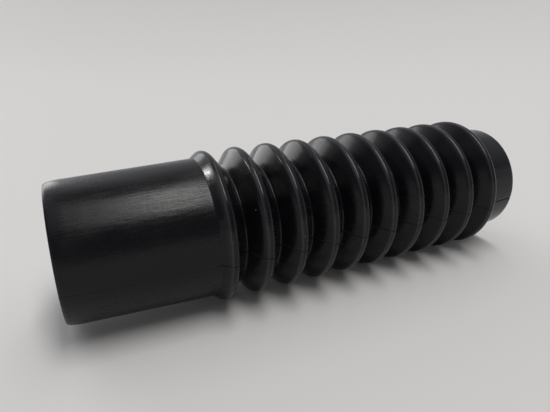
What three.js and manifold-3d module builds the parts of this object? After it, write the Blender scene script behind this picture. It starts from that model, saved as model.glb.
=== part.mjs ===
// Fork gaiter: one moulded rubber bellows, open at both ends, that covers the sliding tube of a
// motorcycle's front fork. A long plain sleeve goes over the lower leg, ten folds take up the
// travel, and a short collar closes round the upper tube. It lies on its side, as it comes to
// rest on a bench, with its axis along X and the sleeve's mouth towards -X.

import * as THREE from 'three';
import { mergeVertices } from 'three/addons/utils/BufferGeometryUtils.js';
import Module from 'manifold-3d';

// Driving dimensions, in millimetres
const crestRadius = 34;         // outside of the folds' crests
const rootRadius = 25.7;        // outside of the grooves between them
const crestCount = 10;
const crestPitch = 15.5;        // from one crest to the next
const wall = 2.2;               // rubber, the same all along

const sleeveLength = 59.5;      // mouth to the first fold
const sleeveMouthRadius = 29.3; // outside, at the mouth
const sleeveTopRadius = 31.1;   // outside, where the first fold begins
const sleeveRise = 5;           // along the axis, from the sleeve's end to the first crest

const collarLength = 16.5;      // last fold to the open end
const collarRootRadius = 28.8;  // outside, where the last fold ends
const collarEndRadius = 27.6;   // outside, at the open end
const collarFall = 4.8;         // along the axis, from the last crest to the collar

const crestRound = 2.6;         // outer rounding of a crest
const rootRound = 0.8;          // outer rounding at the bottom of a groove
const lipOuterRound = 1.3;      // rounding of the outer edge at each open end
const lipInnerRound = 0.3;      // rounding of the inner edge there
const leastRound = 0.1;         // sharpest the inside of a crest may be
const restFlat = 0.25;          // how far the rubber flattens where its crests lie on the bench

// Fineness of the faceted skin
const turnSteps = 36;
const outerCrestSteps = 3;
const outerRootSteps = 2;
const innerCrestSteps = 1;
const innerRootSteps = 2;
const lipOuterSteps = 3;
const lipInnerSteps = 1;

const firstCrest = sleeveLength + sleeveRise;
const lastCrest = firstCrest + (crestCount - 1) * crestPitch;
const collarStart = lastCrest + collarFall;
const length = collarStart + collarLength;
const axisHeight = crestRadius - restFlat;

// A skin is a chain of rounds joined by straight lines that touch them. Each round has a centre
// (x along the axis, r from it) and a signed radius: the skin passes outside a positive one and
// inside a negative one.
function lineNormal(from, to) {
  const dx = to.x - from.x;
  const dr = to.r - from.r;
  return Math.atan2(dr, dx) + Math.acos((from.radius - to.radius) / Math.hypot(dx, dr));
}

function chainPoints(rounds, startAngle, endAngle) {
  const points = [];
  rounds.forEach((round, i) => {
    const first = i === 0;
    const last = i === rounds.length - 1;
    const angleIn = first ? startAngle : lineNormal(rounds[i - 1], round);
    const angleOut = last ? endAngle : lineNormal(round, rounds[i + 1]);
    for (let step = 0; step <= round.steps; step += 1) {
      const angle = angleIn + ((angleOut - angleIn) * step) / round.steps;
      const x = round.x + round.radius * Math.cos(angle);
      const r = round.r + round.radius * Math.sin(angle);
      points.push(new THREE.Vector2(r, x));
    }
  });
  return points;
}

// The rounds of the folds from end to end: a groove's round at the sleeve, then each crest and
// the groove after it, the last groove being the one at the collar. Depth is how far the skin
// lies below the outer face.
function foldRounds(depth, crestSteps, rootSteps) {
  const rounds = [];
  const addRoot = (x, radius) => {
    rounds.push({ x, r: radius + rootRound, radius: -(rootRound + depth), steps: rootSteps });
  };
  addRoot(sleeveLength, sleeveTopRadius);
  for (let i = 0; i < crestCount; i += 1) {
    const x = firstCrest + i * crestPitch;
    const radius = Math.max(crestRound - depth, leastRound);
    rounds.push({ x, r: crestRadius - depth - radius, radius, steps: crestSteps });
    if (i < crestCount - 1) {
      addRoot(x + crestPitch / 2, rootRadius);
    }
  }
  addRoot(collarStart, collarRootRadius);
  return rounds;
}

// The closed section of the wall: outer skin from the sleeve's mouth to the collar's end, then
// the inner skin back.
function wallSection() {
  const outerLip = { radius: lipOuterRound, steps: lipOuterSteps };
  const outer = [
    { x: lipOuterRound, r: sleeveMouthRadius - lipOuterRound, ...outerLip },
    ...foldRounds(0, outerCrestSteps, outerRootSteps),
    { x: length - lipOuterRound, r: collarEndRadius - lipOuterRound, ...outerLip },
  ];
  const mouthBore = sleeveMouthRadius - wall;
  const endBore = collarEndRadius - wall;
  const innerLip = { radius: -lipInnerRound, steps: lipInnerSteps };
  const inner = [
    { x: lipInnerRound, r: mouthBore + lipInnerRound, ...innerLip },
    ...foldRounds(wall, innerCrestSteps, innerRootSteps),
    { x: length - lipInnerRound, r: endBore + lipInnerRound, ...innerLip },
  ];
  const outerPoints = chainPoints(outer, Math.PI, 0);
  const innerPoints = chainPoints(inner, 0, Math.PI).reverse();
  return [...outerPoints, ...innerPoints, outerPoints[0].clone()];
}

const wasm = await Module();
wasm.setup();

function toSolid(geometry) {
  const bare = geometry.clone();
  bare.deleteAttribute('normal');
  bare.deleteAttribute('uv');
  const merged = mergeVertices(bare, 1e-4);
  const vertProperties = new Float32Array(merged.attributes.position.array);
  const triVerts = new Uint32Array(merged.index.array);
  return new wasm.Manifold(new wasm.Mesh({ numProp: 3, vertProperties, triVerts }));
}

function toGeometry(solid) {
  const mesh = solid.getMesh();
  const geometry = new THREE.BufferGeometry();
  geometry.setAttribute('position', new THREE.BufferAttribute(mesh.vertProperties, 3));
  geometry.setIndex(new THREE.BufferAttribute(mesh.triVerts, 1));
  geometry.computeVertexNormals();
  return geometry;
}

// The wall is turned about the axis, laid down with the axis along X, and the crests lose the
// sliver that presses flat on the bench.
function gaiterBody() {
  const turned = new THREE.LatheGeometry(wallSection(), turnSteps);
  turned.rotateZ(-Math.PI / 2);
  turned.rotateX(Math.PI / turnSteps);
  turned.translate(-length / 2, 0, axisHeight);
  const under = new THREE.BoxGeometry(2 * length, 4 * crestRadius, 2 * crestRadius);
  under.translate(0, 0, -crestRadius);
  return toGeometry(toSolid(turned).subtract(toSolid(under)));
}

const rubber = new THREE.MeshStandardMaterial({ color: 0x1b1b1c, roughness: 0.42, metalness: 0 });

const gaiter = new THREE.Mesh(gaiterBody(), rubber);
gaiter.name = 'gaiter';

const model = new THREE.Group();
model.name = 'fork_gaiter';
model.add(gaiter);

export default model;
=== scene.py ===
# Fork gaiter of black moulded rubber, lying on its side on a pale table.
import math
import bpy
import numpy as np
from mathutils import Matrix


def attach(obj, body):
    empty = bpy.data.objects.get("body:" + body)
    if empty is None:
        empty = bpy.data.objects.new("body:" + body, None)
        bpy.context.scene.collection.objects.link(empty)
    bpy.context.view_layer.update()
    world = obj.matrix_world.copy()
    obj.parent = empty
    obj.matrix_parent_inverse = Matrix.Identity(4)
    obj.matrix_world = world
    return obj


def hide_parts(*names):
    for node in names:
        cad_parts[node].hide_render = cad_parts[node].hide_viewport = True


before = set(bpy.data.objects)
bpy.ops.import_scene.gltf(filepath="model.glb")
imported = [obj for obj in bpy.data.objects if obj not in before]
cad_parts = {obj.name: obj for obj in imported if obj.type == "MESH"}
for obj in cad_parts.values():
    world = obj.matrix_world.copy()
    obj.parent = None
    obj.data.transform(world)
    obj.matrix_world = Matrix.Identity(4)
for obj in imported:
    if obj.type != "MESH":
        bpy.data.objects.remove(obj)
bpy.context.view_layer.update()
mm = 0.001

camera = {                                 # fitted to the photograph's outline
    "place": (-0.1004, -0.1880, 0.1146),   # metres
    "heading": 24.26,                      # degrees from +Y towards +X
    "tilt": -20.49,                        # degrees, below the horizon
    "roll": -1.15,                         # degrees
    "lens": 30.08,                         # mm
    "sensorWidth": 36.0,                   # mm
    "reach": (0.01, 60.0),                 # metres, nearest and farthest seen
}


def makeCamera(values):
    data = bpy.data.cameras.new("camera")
    data.sensor_width = values["sensorWidth"]
    data.lens = values["lens"]
    data.clip_start, data.clip_end = values["reach"]
    eye = bpy.data.objects.new("camera", data)
    eye.location = values["place"]
    turn = Matrix.Rotation(-math.radians(values["heading"]), 3, "Z")
    turn = turn @ Matrix.Rotation(math.radians(90 + values["tilt"]), 3, "X")
    turn = turn @ Matrix.Rotation(math.radians(values["roll"]), 3, "Z")
    eye.rotation_euler = turn.to_euler()
    bpy.context.scene.collection.objects.link(eye)
    bpy.context.scene.camera = eye


makeCamera(camera)
print("camera made")


def gridObject(name, points, closedAcross, closedAlong, attributes=None):
    # points has the shape (rows, columns, 3); each cell between neighbours is one quad, and a
    # closed direction joins its last line to its first
    rows, columns = points.shape[:2]
    index = np.arange(rows * columns).reshape(rows, columns)
    if closedAcross:
        index = np.vstack([index, index[:1]])
    if closedAlong:
        index = np.hstack([index, index[:, :1]])
    corners = [index[:-1, :-1], index[1:, :-1], index[1:, 1:], index[:-1, 1:]]
    quads = np.stack([c.ravel() for c in corners], axis=1)
    mesh = bpy.data.meshes.new(name)
    mesh.vertices.add(rows * columns)
    mesh.vertices.foreach_set("co", points.reshape(-1).astype(np.float32))
    mesh.loops.add(quads.size)
    mesh.loops.foreach_set("vertex_index", quads.ravel().astype(np.int32))
    mesh.polygons.add(len(quads))
    mesh.polygons.foreach_set("loop_start", np.arange(0, quads.size, 4, dtype=np.int32))
    mesh.update(calc_edges=True)
    mesh.validate()
    mesh.polygons.foreach_set("use_smooth", np.ones(len(mesh.polygons), dtype=bool))
    for key, value in (attributes or {}).items():
        kind, field = ("FLOAT_VECTOR", "vector") if value.ndim == 3 else ("FLOAT", "value")
        layer = mesh.attributes.new(key, kind, "POINT")
        layer.data.foreach_set(field, value.ravel().astype(np.float32))
    mesh.update()
    made = bpy.data.objects.new(name, mesh)
    bpy.context.scene.collection.objects.link(made)
    return made


gaiter = {                    # millimetres, from the CAD
    "crestRadius": 34.0,
    "rootRadius": 25.7,
    "crestCount": 10,
    "crestPitch": 15.5,
    "wall": 2.2,
    "sleeveLength": 59.5,
    "sleeveMouthRadius": 29.3,
    "sleeveTopRadius": 31.1,
    "sleeveRise": 5.0,
    "collarLength": 16.5,
    "collarRootRadius": 28.8,
    "collarEndRadius": 27.6,
    "collarFall": 4.8,
    "crestRound": 2.6,
    "rootRound": 0.8,
    "lipOuterRound": 1.3,
    "lipInnerRound": 0.3,
    "restFlat": 0.25,
    "partingAngle": -9.0,     # degrees from the front, upwards
    "partingDepth": 0.34,     # of the crease along the parting line, on the folds
    "sleevePartingDepth": 0.09,
    "partingWidth": 0.28,
    "mouthEase": 0.75,        # how much the outer face draws in at the mouth
    "mouthEaseLength": 6.0,
    "wearAndHighlightOffset": -1.1,       # rubbed line on each crest, partly wear and partly a painted highlight along the ridge, from its middle along the axis
    "wearAndHighlightWidth": 0.45,
    "wearAndHighlightReach": 2.5,         # how far below the crest the line may be
    # fineness: steps in each round, and the length of a step on the straight lines
    "outer": {"crest": 8, "root": 6, "lip": 8, "straight": 1.3},
    "inner": {"crest": 3, "root": 5, "lip": 3, "straight": 2.6},
    "turnSteps": 150,
    "seamSteps": (-3.2, -2.0, -1.2, -0.6, 0.0, 0.6, 1.2, 2.0, 3.2),   # in partingWidths
    "seamClear": 0.4,         # of a turn step, left between a seam's steps and the even ones
}


def touchingNormal(a, b):
    # angle of the normal of the straight line that touches both rounds: the angle of the line
    # between their centres, plus the arc cosine of their difference in radius over its length
    dx, dr = b[0] - a[0], b[1] - a[1]
    return math.atan2(dr, dx) + math.acos((a[2] - b[2]) / math.hypot(dx, dr))


def chain(rounds, startAngle, endAngle, straightStep):
    # rounds of signed radius, each an even sweep of its normal's angle, joined by the straight
    # lines that touch them, as x and r arrays
    xs, rs = [], []
    for i, (x, r, radius, steps) in enumerate(rounds):
        angleIn = startAngle if i == 0 else touchingNormal(rounds[i - 1], rounds[i])
        angleOut = endAngle if i == len(rounds) - 1 else touchingNormal(rounds[i], rounds[i + 1])
        angle = np.linspace(angleIn, angleOut, steps + 1)
        arcX, arcR = x + radius * np.cos(angle), r + radius * np.sin(angle)
        if xs:
            lastX, lastR = xs[-1][-1], rs[-1][-1]
            count = max(1, int(math.hypot(arcX[0] - lastX, arcR[0] - lastR) / straightStep))
            share = np.arange(1, count) / count
            xs.append(lastX + share * (arcX[0] - lastX))
            rs.append(lastR + share * (arcR[0] - lastR))
        xs.append(arcX)
        rs.append(arcR)
    return np.concatenate(xs), np.concatenate(rs)


def foldRounds(g, depth, steps):
    # the grooves and crests from the sleeve to the collar, at a depth below the outer face
    rounds = []

    def addRoot(x, radius):
        rounds.append((x, radius + g["rootRound"], -(g["rootRound"] + depth), steps["root"]))

    addRoot(g["sleeveLength"], g["sleeveTopRadius"])
    for i in range(g["crestCount"]):
        x = g["sleeveLength"] + g["sleeveRise"] + i * g["crestPitch"]
        crest = g["crestRadius"] - g["crestRound"]
        rounds.append((x, crest, g["crestRound"] - depth, steps["crest"]))
        if i < g["crestCount"] - 1:
            addRoot(x + g["crestPitch"] / 2, g["rootRadius"])
    end = x + g["collarFall"]
    addRoot(end, g["collarRootRadius"])
    return rounds, end + g["collarLength"]


def wallSection(g):
    # closed section of the wall: outer skin from mouth to collar, inner skin back
    lip, edge, wall = g["lipOuterRound"], g["lipInnerRound"], g["wall"]
    steps = g["outer"]
    folds, length = foldRounds(g, 0.0, steps)
    outer = [(lip, g["sleeveMouthRadius"] - lip, lip, steps["lip"])] + folds
    outer.append((length - lip, g["collarEndRadius"] - lip, lip, steps["lip"]))
    outerX, outerR = chain(outer, math.pi, 0.0, steps["straight"])
    steps = g["inner"]
    folds, length = foldRounds(g, wall, steps)
    inner = [(edge, g["sleeveMouthRadius"] - wall + edge, -edge, steps["lip"])] + folds
    inner.append((length - edge, g["collarEndRadius"] - wall + edge, -edge, steps["lip"]))
    innerX, innerR = chain(inner, 0.0, math.pi, steps["straight"])
    x = np.concatenate([outerX, innerX[::-1]])
    r = np.concatenate([outerR, innerR[::-1]])
    outside = np.concatenate([np.ones_like(outerX), np.zeros_like(innerX)])
    return x, r, outside, length


def turnAngles(g):
    # even steps round the axis, with closer ones at the two parting lines
    even = np.linspace(0.0, 2 * math.pi, g["turnSteps"], endpoint=False)
    near = np.array(g["seamSteps"]) * g["partingWidth"]
    near = near / g["crestRadius"]
    seam = math.radians(g["partingAngle"])
    close = np.concatenate([seam + near, seam + math.pi + near]) % (2 * math.pi)
    far = np.abs((even[:, None] - close[None, :] + math.pi) % (2 * math.pi) - math.pi).min(axis=1)
    clear = g["seamClear"] * 2 * math.pi / g["turnSteps"]
    return np.sort(np.concatenate([even[far > clear], close]))


def makeGaiter(g):
    # the section turned about the axis: x stays, y is minus r times the cosine and z is r times
    # the sine of the angle from the front, lifted so that the crests' flats lie at zero
    x, r, outside, length = wallSection(g)
    angle = turnAngles(g)
    seam = math.radians(g["partingAngle"])
    # one on a parting line, and a bell curve of the distance from it to both sides
    off = np.abs((angle - seam + math.pi / 2) % math.pi - math.pi / 2)[None, :] * r[:, None]
    line = np.exp(-(off / g["partingWidth"]) ** 2) * outside[:, None]
    # the outer face draws in towards the mouth, growing with the square of the nearness, and
    # the lip's flat end stays as it is
    lip = g["lipOuterRound"]
    high = np.clip((r - g["sleeveMouthRadius"] + lip) / lip, 0.0, 1.0)
    ease = np.clip(1.0 - x / g["mouthEaseLength"], 0.0, 1.0) ** 2 * outside * high
    # the crease deepens over the sleeve's last stretch, before the first fold
    nearFold = np.clip((x - g["sleeveLength"]) / g["sleeveRise"] + 1.0, 0.0, 1.0)
    depth = g["sleevePartingDepth"] + (g["partingDepth"] - g["sleevePartingDepth"]) * nearFold
    radius = (r - g["mouthEase"] * ease)[:, None] - depth[:, None] * line
    points = np.empty((len(x), len(angle), 3))
    points[..., 0] = x[:, None] - length / 2
    points[..., 1] = -radius * np.cos(angle)[None, :]
    points[..., 2] = radius * np.sin(angle)[None, :] + g["crestRadius"] - g["restFlat"]
    points[..., 2] = np.maximum(points[..., 2], 0.0)
    # the place on an even tube of the crests' radius, for marks that run lengthwise
    tube = np.empty_like(points)
    tube[..., 0] = points[..., 0]
    tube[..., 1] = -g["crestRadius"] * np.cos(angle)[None, :]
    tube[..., 2] = g["crestRadius"] * np.sin(angle)[None, :]
    # one on a crest's rubbed line, which is partly wear and partly a painted highlight along the
    # ridge, and a bell curve of the distance from it along the axis
    along = x - g["sleeveLength"] - g["sleeveRise"] - g["wearAndHighlightOffset"]
    nearest = np.clip(np.round(along / g["crestPitch"]), 0, g["crestCount"] - 1) * g["crestPitch"]
    wearAndHighlight = np.exp(-((along - nearest) / g["wearAndHighlightWidth"]) ** 2)
    wearAndHighlight = wearAndHighlight * outside * (r > g["crestRadius"] - g["wearAndHighlightReach"])
    wearAndHighlight = np.repeat(wearAndHighlight[:, None], len(angle), axis=1)
    marks = {"partingLine": line, "crestWearAndHighlight": wearAndHighlight, "tubePlace": tube * mm}
    return gridObject("gaiterShell", points * mm, True, True, marks)


shell = makeGaiter(gaiter)
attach(shell, "root")
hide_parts("gaiter")
print("gaiter made:", len(shell.data.polygons) * 2, "triangles")

rubber = {
    "colour": (0.0036, 0.0035, 0.0047, 1.0),
    "dustColour": (0.016, 0.016, 0.0165, 1.0),
    # grey of the crests' rubbed line: partly wear, partly a painted highlight along the ridge
    "wearAndHighlightColour": (0.045, 0.045, 0.048, 1.0),
    "speckColour": (0.22, 0.215, 0.21, 1.0),
    "ior": 1.33,
    "sleeveRoughness": 0.24,
    "foldRoughness": 0.18,
    "creaseRoughness": 0.55,                 # added along the parting line
    # noises: scale per metre along the gaiter and round it, detail and roughness
    "streak": ((70.0, 2300.0, 2300.0), 4.0, 0.65),
    "wave": ((60.0, 260.0, 260.0), 5.0, 0.6),
    "mottle": ((1300.0,) * 3, 3.0, 0.6),
    "grain": ((2800.0,) * 3, 2.0, 0.5),
    "patch": ((42.0,) * 3, 4.0, 0.6),
    # what each noise adds to the roughness, from its low to its high places
    "streakDullness": (-0.05, 0.08),
    "mottleDullness": (-0.03, 0.05),
    "patchDullness": (-0.03, 0.05),
    # relief: depth in metres, and its strength on the folds and on the sleeve
    "streakDepth": 0.00004,
    "streakStrength": (0.25, 0.7),
    "waveDepth": 0.00010,
    "waveStrength": (0.2, 1.0),
    "grainDepth": 0.000006,
    "grainStrength": 0.5,
    "sleeveFade": 0.001,                     # metres, from the sleeve's finish to the folds'
    "bloom": 0.3,                            # most of the dust colour in the dull patches
    "specks": [                              # place in metres, radius in metres
        ((-0.03637, -0.0270, 0.04836), 0.00028),
        ((-0.03700, -0.0266, 0.04900), 0.00018),
        ((-0.01755, -0.0339, 0.03548), 0.00020),
    ],
}


def newMaterial(name):
    material = bpy.data.materials.new(name)
    material.use_nodes = True
    tree = material.node_tree
    tree.nodes.clear()
    output = tree.nodes.new("ShaderNodeOutputMaterial")
    shader = tree.nodes.new("ShaderNodeBsdfPrincipled")
    tree.links.new(shader.outputs["BSDF"], output.inputs["Surface"])
    return material, tree, shader


def node(tree, kind, **inputs):
    made = tree.nodes.new(kind)
    for key, value in inputs.items():
        made.inputs[key.replace("_", " ")].default_value = value
    return made


def mapRange(tree, source, low, high, toLow, toHigh, smooth=True):
    made = tree.nodes.new("ShaderNodeMapRange")
    made.interpolation_type = "SMOOTHSTEP" if smooth else "LINEAR"
    tree.links.new(source, made.inputs["Value"])
    made.inputs["From Min"].default_value = low
    made.inputs["From Max"].default_value = high
    made.inputs["To Min"].default_value = toLow
    made.inputs["To Max"].default_value = toHigh
    return made.outputs["Result"]


def maths(tree, operation, a, b):
    made = tree.nodes.new("ShaderNodeMath")
    made.operation = operation
    for slot, value in zip(made.inputs, (a, b)):
        if isinstance(value, (int, float)):
            slot.default_value = value
        else:
            tree.links.new(value, slot)
    return made.outputs[0]


def noise(tree, vector, kind):
    scale, detail, roughness = kind
    mapping = node(tree, "ShaderNodeMapping", Scale=scale)
    tree.links.new(vector, mapping.inputs["Vector"])
    made = node(tree, "ShaderNodeTexNoise", Scale=1.0, Detail=detail, Roughness=roughness)
    tree.links.new(mapping.outputs[0], made.inputs["Vector"])
    return made.outputs["Fac"]


def bump(tree, height, strength, distance, under=None):
    made = node(tree, "ShaderNodeBump", Distance=distance)
    tree.links.new(height, made.inputs["Height"])
    if isinstance(strength, float):
        made.inputs["Strength"].default_value = strength
    else:
        tree.links.new(strength, made.inputs["Strength"])
    if under is not None:
        tree.links.new(under, made.inputs["Normal"])
    return made.outputs["Normal"]


def makeRubber(values, g):
    material, tree, shader = newMaterial("rubber")
    links = tree.links
    where = tree.nodes.new("ShaderNodeTexCoord").outputs["Object"]
    place = tree.nodes.new("ShaderNodeSeparateXYZ")
    links.new(where, place.inputs[0])
    tube = tree.nodes.new("ShaderNodeAttribute")
    tube.attribute_name = "tubePlace"
    line = tree.nodes.new("ShaderNodeAttribute")
    line.attribute_name = "partingLine"
    wearAndHighlight = tree.nodes.new("ShaderNodeAttribute")
    wearAndHighlight.attribute_name = "crestWearAndHighlight"

    streak = noise(tree, tube.outputs["Vector"], values["streak"])
    wave = noise(tree, tube.outputs["Vector"], values["wave"])
    mottle = noise(tree, where, values["mottle"])
    grain = noise(tree, where, values["grain"])
    patch = noise(tree, where, values["patch"])

    # one on the plain sleeve, fading out at the first fold
    length = g["sleeveLength"] + g["sleeveRise"] + (g["crestCount"] - 1) * g["crestPitch"]
    length += g["collarFall"] + g["collarLength"]
    sleeveEnd = (g["sleeveLength"] - length / 2) * mm
    fadeEnd = sleeveEnd + values["sleeveFade"]
    onSleeve = mapRange(tree, place.outputs["X"], sleeveEnd, fadeEnd, 1.0, 0.0)

    fold, sleeve = values["foldRoughness"], values["sleeveRoughness"]
    roughness = mapRange(tree, onSleeve, 0.0, 1.0, fold, sleeve, False)
    kinds = (("streak", streak, 0.3), ("mottle", mottle, 0.3), ("patch", patch, 0.35))
    for kind, source, low in kinds:
        added = mapRange(tree, source, low, 0.7, *values[kind + "Dullness"])
        roughness = maths(tree, "ADD", roughness, added)
    crease = mapRange(tree, patch, 0.35, 0.6, 0.3, 1.0)
    crease = maths(tree, "MULTIPLY", crease, line.outputs["Fac"])
    crease = maths(tree, "MULTIPLY", crease, values["creaseRoughness"])
    links.new(maths(tree, "ADD", roughness, crease), shader.inputs["Roughness"])

    # dull bloom in patches, a lighter rubbed line along each crest that is partly wear and partly
    # a painted highlight along the ridge, and a few small pale specks
    bloom = mapRange(tree, patch, 0.5, 0.85, 0.0, values["bloom"])
    colour = node(tree, "ShaderNodeMixRGB", Color1=values["colour"], Color2=values["dustColour"])
    links.new(bloom, colour.inputs["Fac"])
    broken = mapRange(tree, mottle, 0.3, 0.7, 0.55, 1.0)
    rubbedAndHighlit = maths(tree, "MULTIPLY", wearAndHighlight.outputs["Fac"], broken)
    wornAndHighlit = node(tree, "ShaderNodeMixRGB", Color2=values["wearAndHighlightColour"])
    links.new(rubbedAndHighlit, wornAndHighlit.inputs["Fac"])
    links.new(colour.outputs[0], wornAndHighlit.inputs["Color1"])
    colour = wornAndHighlit.outputs[0]
    for centre, radius in values["specks"]:
        away = node(tree, "ShaderNodeVectorMath")
        away.operation = "DISTANCE"
        links.new(where, away.inputs[0])
        away.inputs[1].default_value = centre
        spot = mapRange(tree, away.outputs["Value"], 0.6 * radius, radius, 1.0, 0.0)
        mixed = node(tree, "ShaderNodeMixRGB", Color2=values["speckColour"])
        links.new(spot, mixed.inputs["Fac"])
        links.new(colour, mixed.inputs["Color1"])
        colour = mixed.outputs[0]
    links.new(colour, shader.inputs["Base Color"])

    waveStrength = mapRange(tree, onSleeve, 0.0, 1.0, *values["waveStrength"], False)
    streakStrength = mapRange(tree, onSleeve, 0.0, 1.0, *values["streakStrength"], False)
    relief = bump(tree, wave, waveStrength, values["waveDepth"])
    relief = bump(tree, streak, streakStrength, values["streakDepth"], relief)
    relief = bump(tree, grain, values["grainStrength"], values["grainDepth"], relief)
    links.new(relief, shader.inputs["Normal"])
    shader.inputs["IOR"].default_value = values["ior"]
    return material


shell.data.materials.append(makeRubber(rubber, gaiter))
print("rubber made")

table = {
    "flatRadius": 1.1,                 # metres, where the table starts to sweep up
    "outerRadius": 4.2,
    "rimHeight": 0.42,
    "middleRadius": 0.02,
    "ringCount": 60,
    "sideCount": 96,
    "colour": (0.735, 0.722, 0.705, 1.0),
    "roughness": 0.8,
    "specular": 0.25,
}


def makeTable(values):
    # a round sheet: radius and angle are the two parameters, flat in the middle, and past the
    # flat its height grows with the square of the distance, up to the rim
    middle, flat, outer = values["middleRadius"], values["flatRadius"], values["outerRadius"]
    share = np.linspace(0.0, 1.0, values["ringCount"])
    radius = middle + (outer - middle) * share ** 1.5
    past = np.clip((radius - flat) / (outer - flat), 0, 1)
    angle = np.linspace(0.0, 2 * math.pi, values["sideCount"], endpoint=False)
    points = np.empty((len(radius), len(angle), 3))
    points[..., 0] = radius[:, None] * np.cos(angle)[None, :]
    points[..., 1] = radius[:, None] * np.sin(angle)[None, :]
    points[..., 2] = values["rimHeight"] * past[:, None] ** 2
    points[0, :, :2] = 0.0
    top = gridObject("tableTop", points, False, True)
    material, tree, shader = newMaterial("tableTop")
    shader.inputs["Base Color"].default_value = values["colour"]
    shader.inputs["Roughness"].default_value = values["roughness"]
    shader.inputs["Specular IOR Level"].default_value = values["specular"]
    top.data.materials.append(material)


makeTable(table)

studio = {
    # each lamp: the place it shines at in metres, its heading from +Y towards +X and its height
    # in degrees as seen from there, its distance, its turn about its own aim, its size, and its
    # brightness, where one is a white table in even light
    "lamps": {
        "overhead": {"at": (0.0, 0.0, 0.0), "aim": (151.5, 73.0), "distance": 8.0,
                     "spin": -28.0, "size": (1.6, 5.8), "brightness": 9.8},
        "strip": {"at": (0.0, 0.0, 0.0), "aim": (42.0, 63.0), "distance": 8.0,
                  "spin": 16.0, "size": (0.9, 4.4), "brightness": 3.2},
        "window": {"at": (0.0, 0.0, 0.0), "aim": (-21.0, 16.0), "distance": 8.0,
                   "spin": 0.0, "size": (4.3, 3.6), "brightness": 2.4},
    },
    # a small narrow-beamed lamp that only glints on the first fold
    "glint": {"at": (-0.060, -0.010, 0.060), "aim": (-49.1, 45.4), "distance": 0.296,
              "spin": 17.0, "size": (0.064, 0.016), "brightness": 180.0},
    "glintSpread": 15.0,               # degrees, whole beam
    "lampColour": (1.0, 0.985, 0.965),
    # soft parts of the room: aim, cosine of the angle from the middle where each begins and
    # where it is full, and brightness
    "glows": [
        ((24.0, 20.0), (0.62, 0.94), 0.38),
        ((-22.0, 40.0), (0.87, 0.975), 0.38),
        ((99.0, 49.0), (0.80, 0.97), 0.28),
        ((-104.0, 65.0), (0.84, 0.97), 0.45),
    ],
    "roomLevel": 0.17,
    # pale band behind and beside the gaiter, over the table's rim: the sines of the heights
    # between which it fades out, the Y directions between which it fades out towards the front,
    # and its level
    "bandHeights": (0.20, 0.36),
    "bandFront": (-0.60, -0.48),
    "bandLevel": 0.62,
    "roomColour": (0.96, 0.98, 1.03, 1.0),
}


def direction(aim):
    # the heading's sine and cosine times the cosine of the height, and the sine of the height
    heading, height = (math.radians(a) for a in aim)
    flat = math.cos(height)
    return math.sin(heading) * flat, math.cos(heading) * flat, math.sin(height)


def addLamp(name, values, colour):
    # a flat lamp, whose power is pi times its area times its brightness
    data = bpy.data.lights.new(name, "AREA")
    data.shape = "RECTANGLE"
    data.size, data.size_y = values["size"]
    data.energy = math.pi * data.size * data.size_y * values["brightness"]
    data.color = colour
    lamp = bpy.data.objects.new(name, data)
    towards = direction(values["aim"])
    lamp.location = [a + values["distance"] * t for a, t in zip(values["at"], towards)]
    heading, height = values["aim"]
    turn = Matrix.Rotation(math.radians(180 - heading), 3, "Z")
    turn = turn @ Matrix.Rotation(math.radians(90 - height), 3, "X")
    turn = turn @ Matrix.Rotation(math.radians(values["spin"]), 3, "Z")
    lamp.rotation_euler = turn.to_euler()
    bpy.context.scene.collection.objects.link(lamp)
    return lamp


def makeLight(values):
    for name, lamp in values["lamps"].items():
        addLamp(name, lamp, values["lampColour"])
    glint = addLamp("glint", values["glint"], values["lampColour"])
    # a narrow beam gathers the power, so it takes that much less of it
    half = math.radians(values["glintSpread"]) / 2
    glint.data.spread = 2 * half
    glint.data.energy *= 1 - half / math.tan(half)
    glint.visible_diffuse = False

    world = bpy.data.worlds.new("room")
    world.use_nodes = True
    bpy.context.scene.world = world
    tree = world.node_tree
    tree.nodes.clear()
    output = tree.nodes.new("ShaderNodeOutputWorld")
    shade = tree.nodes.new("ShaderNodeBackground")
    tree.links.new(shade.outputs[0], output.inputs["Surface"])
    where = tree.nodes.new("ShaderNodeTexCoord").outputs["Generated"]
    level = values["roomLevel"]
    for aim, (begins, full), brightness in values["glows"]:
        facing = tree.nodes.new("ShaderNodeVectorMath")
        facing.operation = "DOT_PRODUCT"
        facing.inputs[1].default_value = direction(aim)
        tree.links.new(where, facing.inputs[0])
        glow = mapRange(tree, facing.outputs["Value"], begins, full, 0.0, brightness)
        level = maths(tree, "ADD", glow, level)
    side = tree.nodes.new("ShaderNodeSeparateXYZ")
    tree.links.new(where, side.inputs[0])
    low = mapRange(tree, side.outputs["Z"], *values["bandHeights"], 1.0, 0.0)
    behind = mapRange(tree, side.outputs["Y"], *values["bandFront"], 0.0, values["bandLevel"])
    level = maths(tree, "MAXIMUM", level, maths(tree, "MULTIPLY", low, behind))
    shade.inputs["Color"].default_value = values["roomColour"]
    tree.links.new(level, shade.inputs["Strength"])


makeLight(studio)
bpy.context.scene.view_settings.view_transform = "Standard"
print("table and light made")
